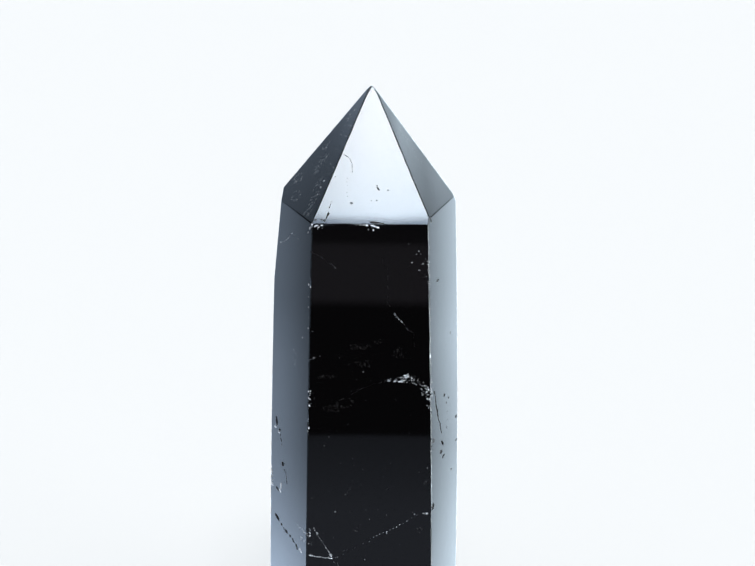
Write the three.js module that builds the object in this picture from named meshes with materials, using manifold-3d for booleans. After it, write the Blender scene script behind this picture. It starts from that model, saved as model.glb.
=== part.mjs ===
// Polished morion quartz point: one dark crystal, ground to a six-sided stem and a six-sided tip,
// standing on its own sawn foot.
// Millimetres, +Z up. The front face looks towards -Y, and the origin is the middle of the foot.
// Every face is set out from the crystal's own axis: its azimuth turns from the front (-Y) towards +X.
import * as THREE from 'three';
import { mergeVertices } from 'three/addons/utils/BufferGeometryUtils.js';
import Module from 'manifold-3d';

const wasm = await Module();
wasm.setup();

// The rough blank that the faces are ground from: a round bar with a blunt cone on top
const BLANK_RADIUS = 20;
const BLANK_SEGMENTS = 48;
const TIP_HEIGHT = 91.7;
const TIP_WEAR_RADIUS = 0.45;
const TIP_WEAR_STEPS = 4;
const BLANK_CONE_HALF_ANGLE = 52;

// The stem's six faces. Each reaches `foot` from the axis at the foot and `shoulder` at the shoulder,
// and hand polishing leaves it bowed out by `bow` between the two.
const SHOULDER_HEIGHT = 72;
const STEM_FACES = [
  { azimuth: 0, foot: 12.8, shoulder: 12.2, bow: 0.35 },
  { azimuth: 69, foot: 14.0, shoulder: 12.5, bow: 0.4 },
  { azimuth: 118, foot: 11.5, shoulder: 11.6, bow: 0.3 },
  { azimuth: 181, foot: 13.0, shoulder: 12.2, bow: 0.3 },
  { azimuth: 243, foot: 13.9, shoulder: 13.0, bow: 0.2 },
  { azimuth: 297, foot: 14.5, shoulder: 13.4, bow: 0.3 },
];
const BOW_STEPS = 10;
const FOOT_BEVEL = 0.6;

// The tip's six facets. Each rises at `slope` degrees from level and would cross the axis at `top`.
const TIP_FACETS = [
  { azimuth: 0, slope: 57.6, top: 91.7 },
  { azimuth: 65, slope: 55.4, top: 92.2 },
  { azimuth: 117, slope: 56.7, top: 92.0 },
  { azimuth: 181, slope: 55.6, top: 92.1 },
  { azimuth: 241, slope: 54.4, top: 92.2 },
  { azimuth: 302, slope: 54.3, top: 92.0 },
];

// Two small flats that came with handling and repolishing: a slim one leans in down the left corner,
// and a tiny one is the worn corner at the right of the shoulder. Each passes `reach` from the axis
// at `height`.
const SMALL_FLATS = [
  { azimuth: 267, slope: 84.2, reach: 15.1, height: 60.7 },
  { azimuth: 95, slope: 66, reach: 13.45, height: 73.2 },
];

const STONE_COLOR = 0x1b1916;
const STONE_ROUGHNESS = 0.08;

// Turns a closed three.js shape into a solid that can be cut.
function solidFrom(geometry) {
  geometry.deleteAttribute('normal');
  geometry.deleteAttribute('uv');
  const merged = mergeVertices(geometry);
  const mesh = new wasm.Mesh({
    numProp: 3,
    vertProperties: new Float32Array(merged.attributes.position.array),
    triVerts: new Uint32Array(merged.index.array),
  });
  return new wasm.Manifold(mesh);
}

// Turns a cut solid back into a three.js shape.
function geometryFrom(solid) {
  const mesh = solid.getMesh();
  const geometry = new THREE.BufferGeometry();
  geometry.setAttribute('position', new THREE.BufferAttribute(mesh.vertProperties, mesh.numProp));
  geometry.setIndex(new THREE.BufferAttribute(mesh.triVerts, 1));
  geometry.computeVertexNormals();
  return geometry;
}

// The round bar, with its cone ending in the small dome that wear leaves on the tip.
function blank() {
  const halfAngle = THREE.MathUtils.degToRad(BLANK_CONE_HALF_ANGLE);
  const domeCentre = TIP_HEIGHT - TIP_WEAR_RADIUS;
  const domeEdge = Math.PI / 2 - halfAngle;
  const edgeRadius = TIP_WEAR_RADIUS * Math.sin(domeEdge);
  const edgeHeight = domeCentre + TIP_WEAR_RADIUS * Math.cos(domeEdge);
  const coneFoot = edgeHeight - (BLANK_RADIUS - edgeRadius) / Math.tan(halfAngle);
  const profile = [
    new THREE.Vector2(0, 0),
    new THREE.Vector2(BLANK_RADIUS, 0),
    new THREE.Vector2(BLANK_RADIUS, coneFoot),
  ];
  for (let step = TIP_WEAR_STEPS; step >= 0; step -= 1) {
    const angle = (domeEdge * step) / TIP_WEAR_STEPS;
    const radius = step === 0 ? 0 : TIP_WEAR_RADIUS * Math.sin(angle);
    profile.push(new THREE.Vector2(radius, domeCentre + TIP_WEAR_RADIUS * Math.cos(angle)));
  }
  const geometry = new THREE.LatheGeometry(profile, BLANK_SEGMENTS);
  geometry.rotateX(Math.PI / 2);
  return solidFrom(geometry);
}

// How far a stem face stands from the axis at a height.
function stemReach(face, height) {
  const along = height / SHOULDER_HEIGHT;
  return face.foot + (face.shoulder - face.foot) * along + 4 * face.bow * along * (1 - along);
}

// The bar of stone left under one stem face: its outline seen edge on, drawn through the whole blank.
function stemSlab(face) {
  const outline = new THREE.Shape();
  outline.moveTo(-2 * BLANK_RADIUS, -FOOT_BEVEL);
  outline.lineTo(stemReach(face, FOOT_BEVEL) - 2 * FOOT_BEVEL, -FOOT_BEVEL);
  for (let step = 0; step <= BOW_STEPS; step += 1) {
    const height = FOOT_BEVEL + ((TIP_HEIGHT - FOOT_BEVEL) * step) / BOW_STEPS;
    outline.lineTo(stemReach(face, height), height);
  }
  outline.lineTo(stemReach(face, TIP_HEIGHT), TIP_HEIGHT + FOOT_BEVEL);
  outline.lineTo(-2 * BLANK_RADIUS, TIP_HEIGHT + FOOT_BEVEL);
  const geometry = new THREE.ExtrudeGeometry(outline, { depth: 4 * BLANK_RADIUS, bevelEnabled: false });
  geometry.translate(0, 0, -2 * BLANK_RADIUS);
  geometry.rotateX(Math.PI / 2);
  geometry.rotateZ(THREE.MathUtils.degToRad(face.azimuth - 90));
  return solidFrom(geometry);
}

// The waste that one flat pass takes off: everything outside a sloping plane through a point.
function flatWaste(azimuth, slope, reach, height) {
  const turn = THREE.MathUtils.degToRad(azimuth);
  const lift = THREE.MathUtils.degToRad(90 - slope);
  const level = new THREE.Vector3(Math.sin(turn), -Math.cos(turn), 0);
  const outward = level.clone().multiplyScalar(Math.cos(lift));
  outward.z = Math.sin(lift);
  const size = 2 * TIP_HEIGHT;
  const geometry = new THREE.BoxGeometry(size, size, size);
  geometry.translate(0, 0, size / 2);
  geometry.applyQuaternion(new THREE.Quaternion().setFromUnitVectors(new THREE.Vector3(0, 0, 1), outward));
  geometry.translate(level.x * reach, level.y * reach, height);
  return solidFrom(geometry);
}

// The finished stone, with the middle of its foot moved to the origin.
function quartzPoint() {
  let stone = blank();
  for (const face of STEM_FACES) {
    stone = stone.intersect(stemSlab(face));
  }
  for (const facet of TIP_FACETS) {
    stone = stone.subtract(flatWaste(facet.azimuth, facet.slope, 0, facet.top));
  }
  for (const flat of SMALL_FLATS) {
    stone = stone.subtract(flatWaste(flat.azimuth, flat.slope, flat.reach, flat.height));
  }
  const geometry = geometryFrom(stone);
  geometry.computeBoundingBox();
  const middle = geometry.boundingBox.getCenter(new THREE.Vector3());
  geometry.translate(-middle.x, -middle.y, 0);
  return geometry;
}

const stoneMaterial = new THREE.MeshStandardMaterial({
  color: STONE_COLOR,
  roughness: STONE_ROUGHNESS,
  metalness: 0,
});

const point = new THREE.Mesh(quartzPoint(), stoneMaterial);
point.name = 'quartz_point';

const group = new THREE.Group();
group.add(point);

export default group;
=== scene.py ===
import logging
import math
import random
from dataclasses import dataclass
from enum import Enum
from typing import Callable, Iterable, Mapping, Sequence, TypeVar, Union

import bmesh
import bpy
from mathutils import Matrix, Vector
from mathutils.bvhtree import BVHTree


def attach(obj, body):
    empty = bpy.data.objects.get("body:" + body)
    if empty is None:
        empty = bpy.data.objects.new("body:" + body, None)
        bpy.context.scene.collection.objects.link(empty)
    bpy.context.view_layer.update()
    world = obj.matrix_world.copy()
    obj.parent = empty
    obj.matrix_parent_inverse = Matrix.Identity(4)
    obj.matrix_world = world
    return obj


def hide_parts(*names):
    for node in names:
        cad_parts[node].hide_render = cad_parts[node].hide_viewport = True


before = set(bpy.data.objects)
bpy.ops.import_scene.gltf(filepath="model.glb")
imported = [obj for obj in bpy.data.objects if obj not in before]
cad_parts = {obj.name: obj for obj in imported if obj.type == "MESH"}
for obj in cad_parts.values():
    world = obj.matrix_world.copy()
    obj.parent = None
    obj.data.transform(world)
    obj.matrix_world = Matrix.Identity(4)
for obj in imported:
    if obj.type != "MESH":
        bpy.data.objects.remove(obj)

LOG = logging.getLogger("quartz_point")
MM = 0.001
STONE_NODE = "quartz_point"
QUARTZ_IOR = 1.544
PALE_AND_GLINT = "paleness"
UP = Vector((0.0, 0.0, 1.0))
FULL_TURN = 360.0
HALF_TURN = 180.0

# How white a broken surface is, from 0 to 1: a dark chip, and a dull mark on the hidden sides
DARK_BREAK = 0.005
DULL_BREAK = 0.001

# A face whose level direction is shorter than this lies level itself, as the foot does
LEVEL_LIMIT = 0.1

Value = Union["Wire", float]
Colour = tuple[float, float, float]
Place = tuple[float, float]
Span = tuple[float, float]
Mark = TypeVar("Mark")


def placed(name: str, data: bpy.types.ID) -> bpy.types.Object:
    """Adds an object to the scene.

    Args:
        name: Its name.
        data: Its mesh or its lens.

    Returns:
        The object, at the origin.
    """
    added = bpy.data.objects.new(name, data)
    bpy.context.scene.collection.objects.link(added)
    return added


def frame_at(point: Vector, right: Vector, outward: Vector) -> Matrix:
    """A frame at a point, from its X and Z directions."""
    axes = Matrix((right, outward.cross(right), outward)).transposed()
    return Matrix.Translation(point) @ axes.to_4x4()


class Wire:
    """A shader value that takes part in ordinary arithmetic; every step adds a Math node."""

    def __init__(self, graph: "Graph", socket: bpy.types.NodeSocket) -> None:
        """Wraps one output socket of a node in a graph."""
        self.graph = graph
        self.socket = socket

    def math(self, operation: str, *values: Value) -> "Wire":
        """Adds a Math node with these inputs, and gives its result."""
        return self.graph.wire("ShaderNodeMath", {"operation": operation}, dict(enumerate(values)))

    def __add__(self, other: Value) -> "Wire":
        """Sum."""
        return self.math("ADD", self, other)

    def __sub__(self, other: Value) -> "Wire":
        """Difference."""
        return self.math("SUBTRACT", self, other)

    def __rsub__(self, other: Value) -> "Wire":
        """Difference, from a number."""
        return self.math("SUBTRACT", other, self)

    def __mul__(self, other: Value) -> "Wire":
        """Product."""
        return self.math("MULTIPLY", self, other)

    def __truediv__(self, other: Value) -> "Wire":
        """Quotient."""
        return self.math("DIVIDE", self, other)

    def __rtruediv__(self, other: Value) -> "Wire":
        """Quotient, of a number."""
        return self.math("DIVIDE", other, self)

    __radd__ = __add__
    __rmul__ = __mul__

    def step(self, low: float, high: float) -> "Wire":
        """A soft step.

        Args:
            low: Where the result leaves 0.
            high: Where the result reaches 1; it may be under low, for a falling step.

        Returns:
            A value from 0 to 1.
        """
        rising = low < high
        ends = {1: min(low, high), 2: max(low, high), 3: float(not rising), 4: float(rising)}
        return self.graph.wire("ShaderNodeMapRange", {"interpolation_type": "SMOOTHSTEP"}, {0: self, **ends})


class Graph:
    """The node tree of a material or of the world, with one way to add a node."""

    def __init__(self, tree: bpy.types.NodeTree) -> None:
        """Empties the tree."""
        self.tree = tree
        tree.nodes.clear()

    def node(
        self,
        kind: str,
        settings: Mapping[str, object] | None = None,
        inputs: Mapping[int | str, object] | None = None,
    ) -> bpy.types.Node:
        """Adds a node.

        Args:
            kind: The node's type.
            settings: Its properties, and "stops" for a colour ramp: pairs of a place and a colour.
            inputs: Its sockets by place or name, each a number, a colour, a Wire or an output socket.

        Returns:
            The new node.
        """
        node = self.tree.nodes.new(kind)
        for name, value in (settings or {}).items():
            if name == "stops":
                self.set_stops(node.color_ramp, value)
            else:
                setattr(node, name, value)
        for key, value in (inputs or {}).items():
            socket = node.inputs[key]
            source = value.socket if isinstance(value, Wire) else value
            if isinstance(source, bpy.types.NodeSocket):
                self.tree.links.new(source, socket)
            else:
                socket.default_value = source
        return node

    @staticmethod
    def set_stops(ramp: bpy.types.ColorRamp, stops: Sequence[tuple[float, Sequence[float]]]) -> None:
        """Gives a colour ramp its stops.

        Args:
            ramp: The ramp of a node.
            stops: Pairs of a place and a colour, in order of place.
        """
        while len(ramp.elements) < len(stops):
            ramp.elements.new(1.0)
        for element, (place, colour) in zip(ramp.elements, stops):
            element.position = place
            element.color = (*colour, 1.0)

    def wire(
        self,
        kind: str,
        settings: Mapping[str, object] | None,
        inputs: Mapping[int | str, object] | None,
        output: int | str = 0,
    ) -> Wire:
        """Adds a node and returns one of its outputs as a Wire."""
        return Wire(self, self.node(kind, settings, inputs).outputs[output])


def new_material(name: str) -> tuple[bpy.types.Material, Graph]:
    """Makes a material.

    Args:
        name: Its name.

    Returns:
        The material, and its empty node tree.
    """
    material = bpy.data.materials.new(name)
    material.use_nodes = True
    return material, Graph(material.node_tree)


@dataclass(frozen=True)
class Wall:
    """The studio in one direction: brightness against elevation.

    Args:
        azimuth: Degrees from the front (-Y) towards +X.
        inner: Degrees either side within which it is at its full.
        outer: Degrees either side at which it has faded out.
        tint: Its colour.
        tones: Pairs of an elevation in degrees and a brightness.
    """

    azimuth: float
    inner: float
    outer: float
    tint: Colour
    tones: tuple[tuple[float, float], ...]


COOL = (0.61, 0.77, 1.0)
STEEL = (0.72, 0.87, 1.0)
PALE_BLUE = (0.83, 0.93, 1.0)
NEUTRAL = (1.0, 0.96, 1.12)
WARM = (1.0, 0.6, 0.25)
ALL_ROUND = 200.0


@dataclass
class Studio:
    """The pale floor, the soft light all round, and the camera at the photo's viewing angle."""

    image_width: float = 755.0
    sensor: float = 36.0
    focal_pixels: float = 2032.0
    camera_distance: float = 320.0 * MM
    camera_elevation: float = math.radians(14.0)
    camera_roll: float = math.radians(0.5)
    aim: Vector = Vector((1.99, 0.0, 60.43)) * MM
    floor_radius: float = 3.0
    floor_segments: int = 64
    floor_tone: Colour = (0.436, 0.386, 0.35)
    backdrop_tone: Colour = (0.93, 0.965, 0.99)
    walls: tuple[Wall, ...] = (
        Wall(0, ALL_ROUND, ALL_ROUND + 1, PALE_BLUE, ((25, 0), (60, 1), (90, 2))),
        Wall(0, 20, 45, NEUTRAL, (
            (-23, 0.153), (-20, 0.144), (-18.4, 0.108), (-17.2, 0.085), (-17.05, 0.042), (-12.25, 0.042),
            (-11.9, 0.18), (-10.6, 0.18), (-9.95, 0.17), (-9.75, 0.07), (-9, 0.06))),
        Wall(0, 20, 45, COOL, ((-23, 0.25), (-20, 0.235), (-18.4, 0.176), (-17.2, 0.14), (-17.05, 0))),
        Wall(75, 25, 45, PALE_BLUE, ((-40, 6), (-22, 9), (0, 9), (18, 5), (32, 0))),
        Wall(140, 30, 60, STEEL, ((-24, 1.5), (-21.5, 0.9), (-20.1, 0.2), (-19, 0))),
        Wall(165, 12, 42, STEEL, (
            (-24, 3.8), (-21.5, 3.8), (-20.1, 4.4), (-18.8, 4.1), (-17.7, 3.5), (-16.3, 3.9), (-14.2, 4.6),
            (-12.5, 4.2), (-10, 4.2), (10, 5), (16.8, 6.6), (17.5, 5.8), (18.2, 7.8), (18.7, 8.8), (19, 6.8),
            (21, 6.2), (24, 6.2), (25, 9))),
        Wall(-140, 30, 60, COOL, (
            (-24, 3.6), (-21.5, 1.9), (-20.2, 0.95), (-18.9, 0.38), (-17.8, 0.15), (-15, 0))),
        Wall(-150, 18, 34, COOL, (
            (-24, 1.4), (-15.1, 1.35), (-14.3, 1.2), (-13.2, 1.0), (-11.2, 1.02), (0, 0.8),
            (23, 1.05), (24.4, 1.08), (25.2, 1.35), (26.5, 2.5), (27.5, 1.8))),
        Wall(-60, 30, 50, COOL, ((-40, 0.6), (0, 0.5), (40, 0.4))),
        Wall(8, 7, 24, COOL, ((51.2, 0), (51.4, 7.3), (57.6, 7.3), (58, 0))),
        Wall(8, 7, 24, PALE_BLUE, (
            (52.45, 0), (52.5, 0.7), (52.55, 4.2), (52.6, 7.2), (52.66, 10.2), (52.72, 12.7), (52.8, 13.4),
            (53.7, 14), (57.6, 14.2), (58, 0))),
        Wall(8, 7, 24, WARM, (
            (52.75, 0), (52.8, 0.4), (53.7, 1.6), (54.3, 2.3), (54.8, 3), (55.4, 3.3), (57.6, 4.5),
            (58, 0))),
        Wall(8, 6, 28, PALE_BLUE, ((57.6, 0), (58, 25), (64, 20), (66, 0))),
    )

    def build(self) -> None:
        """Makes the floor, the sky and the camera."""
        self.build_floor()
        self.build_sky()
        self.build_camera()
        bpy.context.scene.view_settings.view_transform = "Standard"
        LOG.info("studio: floor, sky and camera")

    def build_floor(self) -> None:
        """Makes the plain pale floor."""
        shape = bmesh.new()
        bmesh.ops.create_circle(
            shape, cap_ends=True, segments=self.floor_segments, radius=self.floor_radius
        )
        mesh = bpy.data.meshes.new("floor")
        shape.to_mesh(mesh)
        shape.free()
        floor = placed("floor", mesh)
        material, graph = new_material("pale_paper")
        paper = graph.node("ShaderNodeBsdfDiffuse", None, {"Color": (*self.floor_tone, 1.0)})
        graph.node("ShaderNodeOutputMaterial", None, {"Surface": paper.outputs[0]})
        mesh.materials.append(material)
        floor.visible_glossy = False

    def build_sky(self) -> None:
        """Makes the soft light all round: the walls, and the softbox in front and above."""
        world = bpy.data.worlds.new("studio")
        world.use_nodes = True
        graph = Graph(world.node_tree)
        direction = graph.node("ShaderNodeTexCoord").outputs["Generated"]
        parts = graph.node("ShaderNodeSeparateXYZ", None, {0: direction})
        east, north, up = (Wire(graph, parts.outputs[k]) for k in range(3))
        elevation = up.math("ARCSINE", up) * math.degrees(1.0)
        azimuth = east.math("ARCTAN2", east, 0.0 - north) * math.degrees(1.0)
        total = graph.node("ShaderNodeCombineXYZ").outputs[0]
        for wall in self.walls:
            light = self.light(graph, azimuth, elevation, wall)
            joined = graph.node("ShaderNodeVectorMath", {"operation": "ADD"}, {0: total, 1: light})
            total = joined.outputs[0]
        lit = graph.node("ShaderNodeBackground", None, {"Color": total})
        plain = graph.node("ShaderNodeBackground", None, {"Color": (*self.backdrop_tone, 1.0)})
        seen = graph.node("ShaderNodeLightPath").outputs["Is Camera Ray"]
        mixed = graph.node("ShaderNodeMixShader", None, {0: seen, 1: lit.outputs[0], 2: plain.outputs[0]})
        graph.node("ShaderNodeOutputWorld", None, {"Surface": mixed.outputs[0]})
        bpy.context.scene.world = world

    @staticmethod
    def light(graph: Graph, azimuth: Wire, elevation: Wire, wall: Wall) -> bpy.types.NodeSocket:
        """Makes one wall's tinted light.

        Args:
            graph: The world's nodes.
            azimuth: The azimuth of the direction looked in, in degrees.
            elevation: Its elevation in degrees.
            wall: The wall.

        Returns:
            The light from that direction.
        """
        low = wall.tones[0][0]
        rise = wall.tones[-1][0] - low
        peak = max(tone for _, tone in wall.tones)
        stops = [((lift - low) / rise, (tone / peak,) * 3) for lift, tone in wall.tones]
        ramp = graph.node("ShaderNodeValToRGB", {"stops": stops}, {0: (elevation - low) / rise})
        tone = graph.wire("ShaderNodeRGBToBW", None, {0: ramp.outputs[0]}) * peak
        shifted = azimuth + (FULL_TURN + HALF_TURN - wall.azimuth)
        away = shifted.math("FLOORED_MODULO", shifted, FULL_TURN) - HALF_TURN
        strength = tone * away.math("ABSOLUTE", away).step(wall.outer, wall.inner)
        light = graph.node("ShaderNodeVectorMath", {"operation": "SCALE"}, {0: wall.tint, "Scale": strength})
        return light.outputs[0]

    def build_camera(self) -> None:
        """Puts the camera where the photo was taken from."""
        lens = bpy.data.cameras.new("camera")
        lens.sensor_width = self.sensor
        lens.lens = self.sensor * self.focal_pixels / self.image_width
        camera = placed("camera", lens)
        rise = self.camera_elevation
        back = Vector((0.0, -math.cos(rise), math.sin(rise)))
        camera.location = self.aim + back * self.camera_distance
        turn = Matrix.Rotation(math.pi / 2 - rise, 4, "X") @ Matrix.Rotation(self.camera_roll, 4, "Z")
        camera.rotation_euler = turn.to_euler()
        bpy.context.scene.camera = camera


@dataclass(frozen=True)
class MorionFinish:
    """Polished smoky quartz, so dense that light only gets through where it is thin.

    Broken places are rough, and the paler they are the more white diffuse surface is mixed in:
    partly the real white of frosted breaks, partly painted glints for light caught by broken facets.
    """

    roughness: float = 0.02
    broken_roughness: float = 0.36
    broken_limit: float = 0.5 * DARK_BREAK
    # White of frosted breaks, also used for painted glints
    frost_and_glint_tone: Colour = (0.93, 0.95, 1.0)
    smoke_tone: Colour = (0.36, 0.24, 0.12)
    smoke_density: float = 800.0
    wave_size: float = 7.0 * MM
    wave_height: float = 0.0012 * MM

    def material(self) -> bpy.types.Material:
        """Makes the stone's material.

        Returns:
            The material of the surface and of the smoke inside it.
        """
        material, graph = new_material("polished_morion")
        place = graph.node("ShaderNodeTexCoord").outputs["Object"]
        wave = graph.wire(
            "ShaderNodeTexNoise", None, {"Vector": place, "Scale": 1.0 / self.wave_size, "Detail": 1.0}
        )
        bump = graph.node(
            "ShaderNodeBump", None, {"Height": wave, "Distance": self.wave_height, "Strength": 1.0}
        ).outputs[0]
        frost_and_glint = graph.wire("ShaderNodeAttribute", {"attribute_name": PALE_AND_GLINT}, None, "Fac")
        broken = frost_and_glint.step(0.0, self.broken_limit)
        glass = graph.node(
            "ShaderNodeBsdfPrincipled",
            None,
            {
                "Base Color": (1.0, 1.0, 1.0, 1.0),
                "Roughness": self.roughness + broken * self.broken_roughness,
                "IOR": QUARTZ_IOR,
                "Transmission Weight": 1.0,
                "Normal": bump,
            },
        )
        # Painted glints: paler broken places mix in this white diffuse surface, on top of frosted stone's
        # real white
        white = graph.node("ShaderNodeBsdfDiffuse", None, {"Color": (*self.frost_and_glint_tone, 1.0)})
        face = graph.node("ShaderNodeMixShader", None, {0: frost_and_glint, 1: glass.outputs[0], 2: white.outputs[0]})
        smoke = graph.node(
            "ShaderNodeVolumeAbsorption",
            None,
            {"Color": (*self.smoke_tone, 1.0), "Density": self.smoke_density},
        )
        graph.node(
            "ShaderNodeOutputMaterial", None, {"Surface": face.outputs[0], "Volume": smoke.outputs[0]}
        )
        return material


@dataclass(frozen=True)
class FlawFinish:
    """A healed crack inside the stone: each flake as pale as it was made, the palest painted glints; a
    little glossy.
    """

    tone: Colour = (0.86, 0.92, 1.0)
    roughness: float = 0.3

    def material(self) -> bpy.types.Material:
        """Makes the flaws' material.

        Returns:
            The flakes' material.
        """
        material, graph = new_material("healed_crack")
        # Painted glints: the palest flakes stand in for light caught in the cracks
        pale = graph.wire("ShaderNodeAttribute", {"attribute_name": PALE_AND_GLINT}, None, "Fac")
        tone = graph.node("ShaderNodeVectorMath", {"operation": "SCALE"}, {0: self.tone, "Scale": pale})
        flake = graph.node(
            "ShaderNodeBsdfPrincipled", None, {"Base Color": tone.outputs[0], "Roughness": self.roughness}
        )
        graph.node("ShaderNodeOutputMaterial", None, {"Surface": flake.outputs[0]})
        return material


class Side(Enum):
    """A side of the stone, by its azimuth from the front (-Y) towards +X in degrees."""

    FRONT = 0.0
    RIGHT = 69.0
    BACK_RIGHT = 118.0
    BACK = 181.0
    BACK_LEFT = 243.0
    LEFT = 297.0


FRONT, RIGHT, LEFT = Side.FRONT, Side.RIGHT, Side.LEFT
HIDDEN_SIDES = (Side.BACK_RIGHT, Side.BACK, Side.BACK_LEFT)

# Which way round a chip or a flake lies, in radians
ANY_WAY_ROUND = (0.0, math.pi)


@dataclass(frozen=True)
class Pit:
    """A hollow in the polish.

    Args:
        side: The side it is seen on, looking square on.
        place: Millimetres across from the axis, and up from the foot.
        size: Millimetres wide and tall.
        deep: Millimetres deep.
        lean: Degrees that its top leans to the right.
        pale: How white its broken surface is, from 0 to 1: frosted stone, and near 1 a painted glint.
    """

    side: Side
    place: Place
    size: Place
    deep: float
    lean: float = 0.0
    pale: float = DARK_BREAK


@dataclass(frozen=True)
class Groove:
    """A row of small hollows along a line.

    Args:
        side: The side it is seen on.
        line: Places along it.
        wide: Millimetres across each hollow.
        deep: Millimetres deep.
        pitch: Millimetres from one hollow to the next.
        length: Length of a hollow, in widths.
        pale: How white the broken surfaces are at most, from 0 to 1: frosted stone, and near 1 painted
            glints.
        stray: How far the hollows stray to either side, in widths.
    """

    side: Side
    line: tuple[Place, ...]
    wide: float
    deep: float
    pitch: float
    length: float = 1.6
    pale: float = DARK_BREAK
    stray: float = 0.3


@dataclass(frozen=True)
class Spray:
    """A loose group of tiny chips.

    Args:
        side: The side it is seen on.
        place: Millimetres across and up to its middle.
        size: Millimetres wide and tall.
        count: Number of chips.
        wide: Millimetres across a chip.
        pale: How white the chips are at most, from 0 to 1: frosted stone, and near 1 painted glints.
    """

    side: Side
    place: Place
    size: Place
    count: int
    wide: float
    pale: float


@dataclass(frozen=True)
class Crack:
    """A healed crack under the polish: a row of thin flakes, edge on to the surface or leaning over.

    Args:
        side: The side it is seen through.
        line: Places along it.
        pale: How pale its flakes are, from 0 to 1: milky flakes, and near 1 painted glints.
        breadth: Millimetres that a flake reaches into the stone.
        dip: Degrees that the flakes lean over from square to the surface.
        pitch: Millimetres from one flake to the next.
        fill: Share of the row that has a flake.
        thick: Millimetres of a flake's thickness.
        cover: Millimetres of stone over it.
    """

    side: Side
    line: tuple[Place, ...]
    pale: float
    breadth: float
    dip: float
    pitch: float
    fill: float = 0.75
    thick: float = 0.03
    cover: float = 0.05


@dataclass(frozen=True)
class Veil:
    """A cloud of tiny flakes in the stone.

    Args:
        side: The side it is seen through.
        place: Millimetres across and up to its middle.
        size: Millimetres wide and tall.
        count: Number of flakes.
        pale: How pale its flakes are, from 0 to 1.
        flake: Millimetres across a flake.
        cover: Millimetres of stone over it.
        ring: Share of its middle that is empty.
    """

    side: Side
    place: Place
    size: Place
    count: int
    pale: float
    flake: float = 0.13
    cover: float = 0.3
    ring: float = 0.0


@dataclass(frozen=True)
class Speck:
    """One flake by itself in the stone.

    Args:
        side: The side it is seen through.
        place: Millimetres across and up.
        size: Millimetres across.
        pale: How pale it is, from 0 to 1.
    """

    side: Side
    place: Place
    # pale: How pale it is, from 0 to 1: a milky flake, and near 1 a painted glint.
    size: float
    pale: float


def on(side: Side, kind: Callable[..., Mark], *rows: Sequence[object]) -> tuple[Mark, ...]:
    """Marks of one kind on one side, from what each has after its side."""
    return tuple(kind(side, *row) for row in rows)


@dataclass(frozen=True)
class Edge:
    """One worn edge of the stone.

    Args:
        start: One end of it.
        end: The other end.
        outward: The direction midway between the two faces that meet there.
    """

    start: Vector
    end: Vector
    outward: Vector

    def length(self) -> float:
        """Its length in metres."""
        return (self.end - self.start).length

    def spot(self, share: float) -> Matrix:
        """A frame on it, a share of the way along, with X along it and Z outwards."""
        along = (self.end - self.start).normalized()
        return frame_at(self.start.lerp(self.end, share), along, self.outward)


class SettingOut:
    """Finds the place on the stone's surface that a mark is set out from.

    A random place is at most reach to either side of the axis and between the heights, in millimetres.
    """

    reach = 4.0
    heights = (6.0, 68.0)

    def __init__(self, shape: bmesh.types.BMesh, axis: Vector, edges: Sequence[Edge]) -> None:
        """Takes the measure of a stone.

        Args:
            shape: Its shape.
            axis: Where its upright axis meets the floor.
            edges: The worn edges on its hidden sides.
        """
        self.tree = BVHTree.FromBMesh(shape)
        self.axis = axis
        self.hidden_edges = edges

    def anywhere(self, side: Side, chance: random.Random) -> Matrix:
        """A frame at a random place on one side of the stem."""
        return self.spot(side, (chance.uniform(-self.reach, self.reach), chance.uniform(*self.heights)))

    def spot(self, side: Side, place: Place) -> Matrix:
        """Finds a mark's own frame on the surface.

        Args:
            side: The side the mark is seen on.
            place: Millimetres across from the axis, and up from the foot.

        Returns:
            A frame at the surface, with X to the right, Y up the surface and Z outwards.
        """
        turn = math.radians(side.value)
        level = Vector((math.sin(turn), -math.cos(turn), 0.0))
        across = Vector((math.cos(turn), math.sin(turn), 0.0))
        start = self.axis + across * place[0] * MM + level + Vector((0, 0, place[1] * MM))
        point, outward, _, _ = self.tree.ray_cast(start, -level)
        if point is None:
            raise ValueError(f"no stone at {side.name} {place}")
        return frame_at(point, UP.cross(outward).normalized(), outward)

    def along(self, side: Side, line: Sequence[Place], pitch: float) -> list[tuple[Matrix, float]]:
        """Steps along a line of places.

        Args:
            side: The side the line is seen on.
            line: Places along it.
            pitch: Millimetres from one step to the next.

        Returns:
            For each step its frame on the surface, and its direction in radians up from the right.
        """
        steps = []
        for start, end in zip(line, line[1:]):
            heading = math.atan2(end[1] - start[1], end[0] - start[0])
            count = max(1, round(math.dist(start, end) / pitch))
            for step in range(count):
                share = (step + 0.5) / count
                place = (
                    start[0] + (end[0] - start[0]) * share,
                    start[1] + (end[1] - start[1]) * share,
                )
                steps.append((self.spot(side, place), heading))
        return steps


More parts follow.
